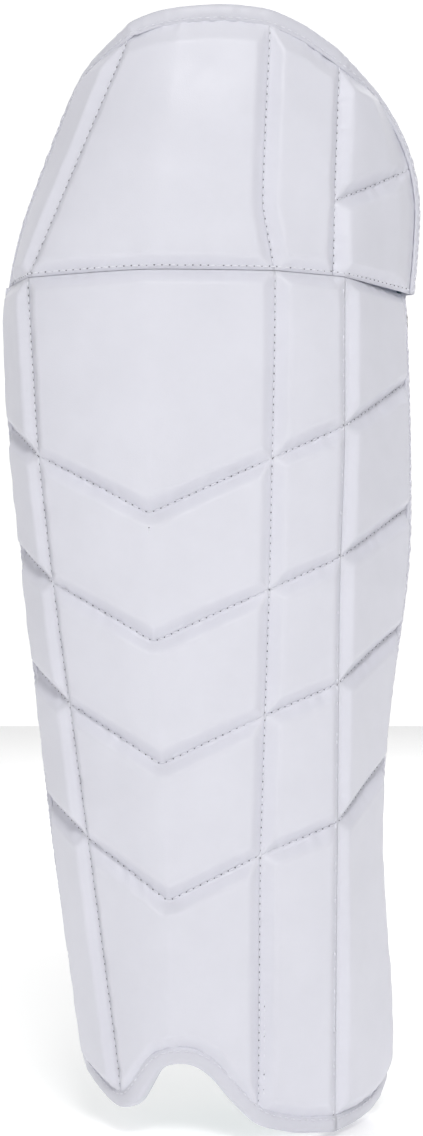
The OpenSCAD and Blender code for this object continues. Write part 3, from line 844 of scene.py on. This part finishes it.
def puffed(obj, base_off, hood, cap=4.0, pressure=4.0, frames=20):
    """Inflates a cushion with a cloth simulation, its sewn underside held to the lining."""
    remesh = obj.modifiers.new("Remesh", "REMESH")
    remesh.mode = "VOXEL"
    remesh.voxel_size = 0.0045
    apply_modifiers(obj)
    before = np.array([v.co for v in obj.data.vertices], float)
    near = base_distance(before / MM, hood) > base_off - 1.6
    group = obj.vertex_groups.new(name="pin")
    group.add([int(i) for i in np.nonzero(near)[0]], 1.0, "REPLACE")
    cloth = obj.modifiers.new("Cloth", "CLOTH")
    cloth.settings.use_pressure = True
    cloth.settings.uniform_pressure_force = pressure
    cloth.settings.effector_weights.gravity = 0.0
    cloth.settings.vertex_group_mass = "pin"
    cloth.settings.tension_stiffness = 12
    cloth.settings.bending_stiffness = 0.4
    cloth.point_cache.frame_start = 1
    cloth.point_cache.frame_end = frames
    scene = bpy.context.scene
    for f in range(1, frames + 1):
        scene.frame_set(f)
    held = obj.evaluated_get(bpy.context.evaluated_depsgraph_get())
    after = np.array([v.co for v in held.data.vertices], float)
    obj.modifiers.remove(cloth)
    scene.frame_set(1)
    move = after - before
    length = np.linalg.norm(move, axis=1, keepdims=True)
    move = move * np.minimum(1, cap * MM / np.maximum(length, 1e-9))
    obj.data.vertices.foreach_set("co", (before + move).ravel())
    sub = obj.modifiers.new("Smooth", "SUBSURF")
    sub.levels = 1
    apply_modifiers(obj)
    obj.data.polygons.foreach_set("use_smooth", [True] * len(obj.data.polygons))


def base_distance(points, hood):
    """Roughly how far each point is outwards from the seam surface, by the nearest of a grid of samples."""
    u = np.linspace(0, 5, 101)
    best = np.full(len(points), -1e9)
    zs = points[:, 2]
    dist2 = np.full(len(points), 1e12)
    for ui in u:
        p = point(np.full_like(zs, ui), zs, 0, hood)
        n = face_normal(np.full_like(zs, ui))
        delta = points - p
        d2 = (delta ** 2).sum(axis=1)
        off = (delta * n).sum(axis=1)
        closer = d2 < dist2
        dist2 = np.where(closer, d2, dist2)
        best = np.where(closer, off, best)
    return best


def cushion(name, u0, u1, low, high, hood, margins, thick, body, node, channels=0, fill=0.6):
    """A stuffed bolster on the lining, with sewn channels across it and piping round its edge."""
    base = LINING_IN - 0.8
    patch = Patch(u0, u1, low, high, hood, margins, 3.5)
    d = patch.distance(4.0)
    span = max(6.0, float(np.percentile(d, 98)))
    dome = np.sqrt(np.clip(1 - (1 - np.clip(d / span, 0, 1)) ** 2, 0, 1))
    start = 2.4 + (thick - 5.0) * dome
    front = point(patch.u, patch.z, base, hood)
    back = point(patch.u, patch.z, base - start, hood)
    obj = slab_mesh(name, front, back, "bolster")
    puffed(obj, base, hood, cap=3.2)
    if channels:
        co = np.array([v.co for v in obj.data.vertices], float) / MM
        z0, z1 = float(patch.z.min()), float(patch.z.max())
        groove = np.zeros(len(co))
        for c in range(1, channels + 1):
            line = z0 + (z1 - z0) * c / (channels + 1)
            groove = np.maximum(groove, np.exp(-((co[:, 2] - line) / 2.6) ** 2))
        depth = np.clip((base - 3.0 - base_distance(co, hood)) / 8.0, 0, 1)
        mid_u = (u0 + u1) / 2
        n = face_normal(np.full(len(co), mid_u))
        co = co + n * (groove * depth * 4.5)[:, None]
        obj.data.vertices.foreach_set("co", (co * MM).ravel())
    place(obj, body, "bolster", node)
    rim = rim_indices(*patch.u.shape)
    us, zs = patch.u.ravel()[rim], patch.z.ravel()[rim]
    piping(f"{name}_piping", us, zs, hood, base - 1.3, body)


def piping(name, us, zs, hood, off, body):
    """A round cord of fabric sewn round the edge of a bolster."""
    loop = point(us, zs, off, hood)
    loop = np.concatenate([loop, loop[:1]])
    normals = face_normal(us)
    normals = np.concatenate([normals, normals[:1]])
    both = even_path(np.concatenate([loop, normals], axis=1), 2.4)[:-1]
    at, up = both[:, :3], unit(both[:, 3:])
    for _ in range(5):
        at = (np.roll(at, 1, axis=0) + 2 * at + np.roll(at, -1, axis=0)) / 4
    along = unit(np.roll(at, -1, axis=0) - np.roll(at, 1, axis=0))
    side = unit(np.cross(along, up))
    angles = 2 * math.pi * np.arange(8) / 8
    rings = [at[i] + 1.3 * (np.outer(np.cos(angles), side[i]) + np.outer(np.sin(angles), up[i]))
             for i in range(len(at))]
    place(sweep_mesh(name, rings, "bolster", closed_path=True), body, "bolster")


def build_cushions():
    knee = (KNEE_ROW, TOP_ROW, True)
    shin = (BOTTOM_ROW, KNEE_ROW, False)
    thick = 15
    cushion("cushion_knee", 1, 3, *knee, [34, 22, 10, 26], thick, "hood", "knee_cushion", 2, 0.7)
    cushion("bolster_knee_left", 0, 1, *knee, [10, 3, 10, 40], thick, "hood", "knee_bolster_left")
    cushion("bolster_knee_right", 4, 5, *knee, [4, 14, 10, 50], thick, "hood", "knee_bolster_right")
    cushion("bolster_shin_left", 1, 2, *shin, [8, 14, 72, 36], thick, "shin", "shin_bolster_left", 3)
    cushion("bolster_shin_right", 2, 3, *shin, [30, 0, 72, 36], thick, "shin", "shin_bolster_right", 3)
    cushion("pad_instep", 1, 3, BOTTOM_ROW, CHEVRONS[0], False, [40, 30, 9, 52], 8, "shin", "instep_pad")


# ------------------------------------------------------------------ seams that bend


def build_hinge_fabric():
    """Stretch fabric behind the knee seam and the wing seam, where the pad flexes."""
    us = np.linspace(0.08, 4.92, 150)
    zs = np.linspace(-9, 9, 13)
    u, dz = np.meshgrid(us, zs)
    z = KNEE_ROW(u) + dz
    ribs = 0.25 * np.cos(2 * math.pi * dz / 3.0)
    front = point(u, z, -1.4 + ribs * 0.5, False)
    back = point(u, z, -2.4 + ribs * 0.5, False)
    web = slab_mesh("knee_gusset", front, back, "cover")
    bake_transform(web)
    us = np.linspace(3.88, 4.12, 9)
    zs = np.linspace(6, 478, 160)
    u, z = np.meshgrid(us, zs)
    front = point(u, z, 0.1, False)
    back = point(u, z, -0.9, False)
    strip = slab_mesh("wing_gusset", front, back, "cover")
    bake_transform(strip)
    lower = Patch(1, 3, KNEE_ROW, KNEE_ROW, False, [10, 4, -28, 3.0], 4.0)
    front = point(lower.u, lower.z, LINING_IN - 1.3, False)
    back = point(lower.u, lower.z, LINING_IN - 2.6, False)
    place(slab_mesh("knee_web_band", front, back, "webbing"), "shin", "webbing", "knee_web")


# ------------------------------------------------------------------ straps

# Each strap's height, how far its loop reaches back, and how far it flares out beside the wing
STRAPS = {"upper": (455, 84, 77), "middle": (335, 82, 58), "lower": (204, 66, 68)}
STRAP_W = 38.0
STRAP_T = 2.4
HOOK_OFF = -10.7
HOOK_T = 0.9
LANDING_OFF = -9.0
LANDING_T = 1.3
ANCHOR_OFF = -12.4
BAND_OFF = -12.9
ROOT_U = -0.14


def bezier(p, t):
    t = np.asarray(t)[:, None]
    return (1 - t) ** 3 * p[0] + 3 * t * (1 - t) ** 2 * p[1] + 3 * t * t * (1 - t) * p[2] + t ** 3 * p[3]


def loop_handles(z, back, flare):
    root = point(ROOT_U, z, ANCHOR_OFF, False)[:2]
    land = point(5.02, z, BAND_OFF, False)[:2]
    return [root, root + [-6, back * 1.1], land + [flare, back * 0.95], land]


def band_mesh(name, flat, z, width, thick, material):
    """A woven band through points seen from above, with soft rolled edges and faint ribs."""
    path = even_path(flat, 2.5)
    along = unit(np.gradient(path, axis=0))
    side = np.stack([along[:, 1], -along[:, 0]], axis=1)
    levels = np.linspace(-0.5, 0.5, 15)
    swell = 1 - 0.35 * (2 * np.abs(levels)) ** 6 + 0.10 * np.cos(levels * 14 * math.pi)
    rings = []
    run = 0.0
    for i in range(len(path)):
        run += 2.5
        wobble = 0.25 * math.sin(run / 17.0)
        front = [(path[i] + side[i] * thick / 2 * s).tolist() + [z + width * lv + wobble]
                 for lv, s in zip(levels, swell)]
        rear = [(path[i] - side[i] * thick / 2 * s).tolist() + [z + width * lv + wobble]
                for lv, s in zip(levels[::-1], swell[::-1])]
        rings.append(front + rear)
    return sweep_mesh(name, rings, material)


def plate_mesh(name, u0, u1, z, width, outer, thick, material, corner=5.0):
    """A patch with rounded corners lying on the inside of the shell."""
    us = np.linspace(u0, u1, 15)
    s = np.linspace(-1, 1, 15)
    span = np.linalg.norm(point(u1, z, outer, False) - point(u0, z, outer, False))
    inset = np.array([corner - math.sqrt(max(0.0, corner ** 2 - max(0.0, corner - d) ** 2))
                      for d in np.minimum(np.linspace(0, span, 15), np.linspace(span, 0, 15))])
    half = width / 2 - inset
    z_grid = z + half[None, :] * np.linspace(-1, 1, 9)[:, None]
    u_grid = np.tile(us, (9, 1))
    edge = np.minimum(1 - np.abs(s)[None, :] ** 8, 1 - np.abs(np.linspace(-1, 1, 9))[:, None] ** 8)
    front = point(u_grid, z_grid, outer, False)
    back = point(u_grid, z_grid, outer - thick * (0.6 + 0.4 * np.clip(edge, 0, 1)), False)
    return slab_mesh(name, front, back, material)


def box_stitch(parts, u0, u1, z, half, off):
    """A sewn box with a cross in it, which holds a strap's end down."""
    corners = [(u0, z - half), (u1, z - half), (u1, z + half), (u0, z + half), (u0, z - half)]
    cross = [[(u0, z - half), (u1, z + half)], [(u0, z + half), (u1, z - half)]]
    for line in [corners] + cross:
        us = np.concatenate([np.linspace(a[0], b[0], 20) for a, b in zip(line[:-1], line[1:])])
        zs = np.concatenate([np.linspace(a[1], b[1], 20) for a, b in zip(line[:-1], line[1:])])
        stitch_row(parts, point(us, zs, off, False), -face_normal(us), 3.0, 2.1, 0.34, holes=False)


def build_straps():
    anchor_parts = []
    for name, (z, back, flare) in STRAPS.items():
        handles = loop_handles(z, back, flare)
        swing, end = f"strap_{name}", f"strap_{name}_end"
        tab = [point(u, z, ANCHOR_OFF, False)[:2] for u in np.linspace(0.5, -0.08, 10)]
        stub = np.concatenate([np.array(tab), bezier(handles, np.linspace(0.0, 0.12, 8))])
        piece = band_mesh(f"strap_root_{name}", stub, z, STRAP_W, STRAP_T, "webbing")
        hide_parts("strap_anchors", f"strap_{name}_root")
        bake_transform(piece)
        inner = [point(u, z, BAND_OFF, False)[:2] for u in np.linspace(4.98, 4.22, 12)]
        path = np.concatenate([bezier(handles, np.linspace(0.12, 0.995, 60)), np.array(inner)])
        piece = band_mesh(f"strap_elastic_{name}", path, z, STRAP_W, STRAP_T, "webbing")
        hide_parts(f"strap_{name}_band")
        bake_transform(piece)
        hook = plate_mesh(f"hook_patch_{name}", 4.34, 4.84, z, STRAP_W - 3, HOOK_OFF, HOOK_T, "hook_pile")
        place(hook, end, "hook_pile", f"strap_{name}_hook_patch")
        landing = plate_mesh(f"landing_patch_{name}", 4.28, 4.87, z, STRAP_W + 4, LANDING_OFF, LANDING_T,
                             "loop_pile")
        place(landing, "wing", "loop_pile", "strap_landing_patches")
        box_stitch(anchor_parts, 0.12, 0.46, z, STRAP_W / 2 - 4, ANCHOR_OFF - STRAP_T / 2 - 0.15)
    place(merged("anchor_stitching", anchor_parts, ["black_thread", "hole_painted_shade"]), "shin", "webbing")


# ------------------------------------------------------------------ stage


def build_stage():
    """A pale floor, soft studio light and the camera."""
    scene = bpy.context.scene
    bpy.ops.mesh.primitive_plane_add(size=6.4, location=(0, 0, -0.004))
    floor = bpy.context.object
    floor.name = "floor"
    n = Nodes("floor_white")
    n.finish(n.ramp(n.noise(2.0), 0.2, 0.8, (0.90, 0.90, 0.90), (0.94, 0.94, 0.94)), 0.9,
             Emission_Color=(1, 1, 1, 1), Emission_Strength=0.22)
    floor.data.materials.append(n.mat)
    bpy.ops.mesh.primitive_plane_add(size=28, location=(0, 9.0, 0), rotation=(math.pi / 2, 0, 0))
    backdrop = bpy.context.object
    backdrop.name = "backdrop"
    glow = Nodes("backdrop_white")
    glow.finish(glow.ramp(glow.noise(1.0), 0.2, 0.8, (0.9, 0.9, 0.9), (0.94, 0.94, 0.94)), 0.9,
                Emission_Color=(1, 1, 1, 1), Emission_Strength=0.8)
    backdrop.data.materials.append(glow.mat)
    world = bpy.data.worlds.new("studio")
    world.use_nodes = True
    world.node_tree.nodes["Background"].inputs["Color"].default_value = (1, 1, 1, 1)
    world.node_tree.nodes["Background"].inputs["Strength"].default_value = 0.28
    scene.world = world
    lights = [
        ("key", (0.35, -3.3, 3.1), (0, -0.05, 0.28), 1.0, 66.0),
        ("fill", (-0.5, -2.3, 0.1), (0, 0, 0.20), 1.2, 5.5),
        ("top", (0.0, -0.8, 3.6), (0, 0, 0.30), 1.0, 12.0),
        ("back", (0.4, 1.6, 1.6), (0, 0.6, 0.0), 1.4, 16.0),
    ]
    for name, where, target, size, power in lights:
        data = bpy.data.lights.new(name, "AREA")
        data.size = size
        data.energy = power
        lamp = bpy.data.objects.new(name, data)
        scene.collection.objects.link(lamp)
        aim(lamp, where, target)
    camera_data = bpy.data.cameras.new("camera")
    camera_data.sensor_width = 36.0
    camera_data.lens = 69.3
    camera_data.clip_start = 0.05
    camera = bpy.data.objects.new("camera", camera_data)
    scene.collection.objects.link(camera)
    aim(camera, (0.0, -1.285, 0.320), (0.0, 0.0, 0.320))
    scene.camera = camera
    scene.view_settings.view_transform = "Standard"


def aim(obj, where, target):
    from mathutils import Vector
    obj.location = where
    direction = Vector(target) - Vector(where)
    obj.rotation_euler = direction.to_track_quat("-Z", "Y").to_euler()


build_stage()
build_face()
build_core()
build_lining()
lips = build_binding()
build_stitching(lips)
build_cushions()
build_hinge_fabric()
build_straps()
